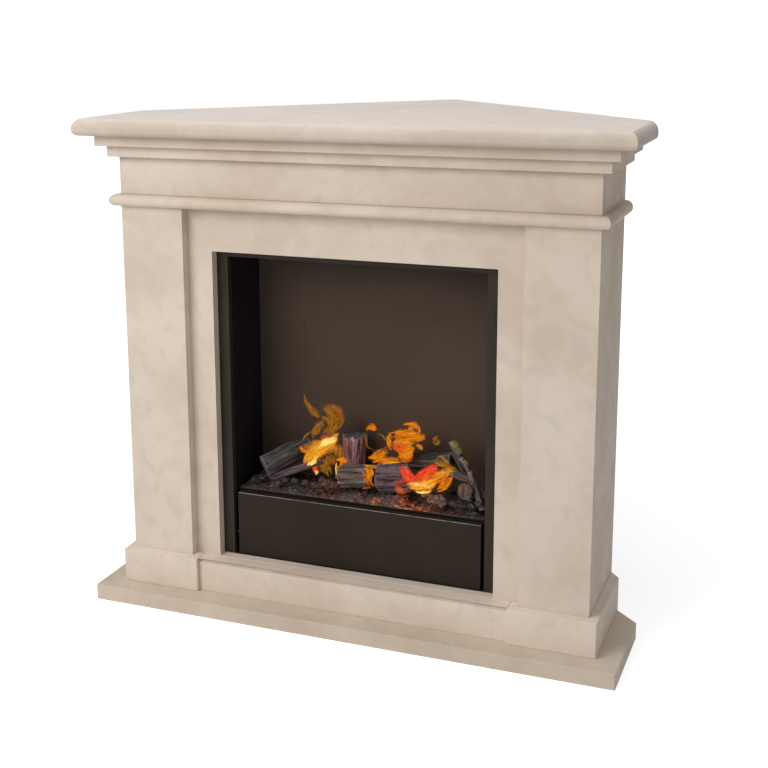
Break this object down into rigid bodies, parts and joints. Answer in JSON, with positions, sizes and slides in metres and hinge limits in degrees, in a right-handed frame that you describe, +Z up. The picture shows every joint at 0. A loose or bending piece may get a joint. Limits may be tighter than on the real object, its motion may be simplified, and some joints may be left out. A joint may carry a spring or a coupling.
{
  "type": "corner fireplace",
  "caption": "Cast-stone corner fireplace surround with an open-fronted electric fire box, lift-out ember bed with logs, and a pull-out water drawer below.",
  "frame": {"origin": "on the floor, under the middle of the bounding box", "axes": "+X to the right seen from the front, +Y back towards the room corner, +Z up"},
  "size_m": [1.088, 0.766, 1],
  "materials": {
    "cast_stone": "honed cast stone, matt, faintly clouded",
    "timber": "planed softwood, unfinished",
    "zinc_steel": "zinc plated",
    "black_steel": "matt black powder coat",
    "chamber_paint": "matt heat-proof paint, brown-black",
    "ember_resin": "moulded translucent resin, granular",
    "charred_ceramic": "matt, moulded bark, charred",
    "magnet_steel": "plain",
    "tank_plastic": "translucent, satin",
    "black_plastic": "matt",
    "grey_plastic": "matt",
    "disc_brass": "plain",
    "lamp_glass": "frosted",
    "red_plastic": "gloss"
  },
  "bodies": {
    "surround": {"base_slab": "cast_stone", "left_plinth": "cast_stone", "right_plinth": "cast_stone", "skirting_band": "cast_stone", "left_pilaster": "cast_stone", "right_pilaster": "cast_stone", "left_side_panel": "cast_stone", "right_side_panel": "cast_stone", "front_panel": "cast_stone", "bead_front": "cast_stone", "bead_left_return": "cast_stone", "bead_right_return": "cast_stone", "frieze_front": "cast_stone", "frieze_left_return": "cast_stone", "frieze_right_return": "cast_stone", "lower_cornice": "cast_stone", "upper_cornice": "cast_stone", "mantel_shelf": "cast_stone", "left_rear_post": "timber", "right_rear_post": "timber", "corner_post": "timber", "left_wall_rail": "timber", "right_wall_rail": "timber", "firebox_bearers": "timber", "wood_screws": "zinc_steel", "trim_frame": "black_steel", "base_pan": "black_steel", "casing_left": "black_steel", "casing_right": "black_steel", "casing_back": "black_steel", "casing_top": "black_steel", "chamber_back_panel": "chamber_paint", "fire_deck": "black_steel", "machine_screws": "zinc_steel", "drawer_runners": "zinc_steel", "catch_magnets": "magnet_steel", "vapour_sump": "grey_plastic", "vapour_nozzle": "grey_plastic", "transducers": "disc_brass", "fan_housing": "black_plastic", "lamp_rail": "zinc_steel", "lamps": "lamp_glass", "control_box": "black_plastic", "mains_inlet": "black_plastic"},
    "drawer": {"drawer_front": "black_steel", "drawer_tray": "black_steel", "water_tank": "tank_plastic"},
    "fuel_bed": {"ember_tray": "black_steel", "ember_bed": "ember_resin", "log_left": "charred_ceramic", "log_upright": "charred_ceramic", "log_front_left": "charred_ceramic", "log_front_right": "charred_ceramic", "log_back": "charred_ceramic", "branch_leaning": "charred_ceramic", "log_stub": "charred_ceramic"},
    "tank_cap": {"tank_cap": "black_plastic"},
    "fan_rotor": {"fan_rotor": "grey_plastic"},
    "power_rocker": {"power_rocker": "red_plastic"},
    "flame_knob": {"flame_knob": "black_plastic"}
  },
  "joints": [
    {"name": "drawer_slide", "type": "slide", "parent": "surround", "child": "drawer", "axis": [0, -1, 0], "range_m": [0, 0.12]},
    {"name": "fuel_bed_lift", "type": "slide", "parent": "surround", "child": "fuel_bed", "axis": [0, 0, 1], "range_m": [0, 0.12]},
    {"name": "cap_turn", "type": "hinge", "parent": "drawer", "child": "tank_cap", "pos_m": [-0.14, -0.21625, 0.19], "axis": [0, 0, 1], "range_deg": [0, 270]},
    {"name": "fan_spin", "type": "hinge", "parent": "surround", "child": "fan_rotor", "pos_m": [0.123, -0.184, 0.1355], "axis": [1, 0, 0], "continuous": true},
    {"name": "rocker_tip", "type": "hinge", "parent": "surround", "child": "power_rocker", "pos_m": [0.178, -0.244, 0.15], "axis": [1, 0, 0], "range_deg": [-14, 0]},
    {"name": "knob_turn", "type": "hinge", "parent": "surround", "child": "flame_knob", "pos_m": [0.225, -0.255, 0.15], "axis": [0, 1, 0], "range_deg": [0, 270]}
  ]
}
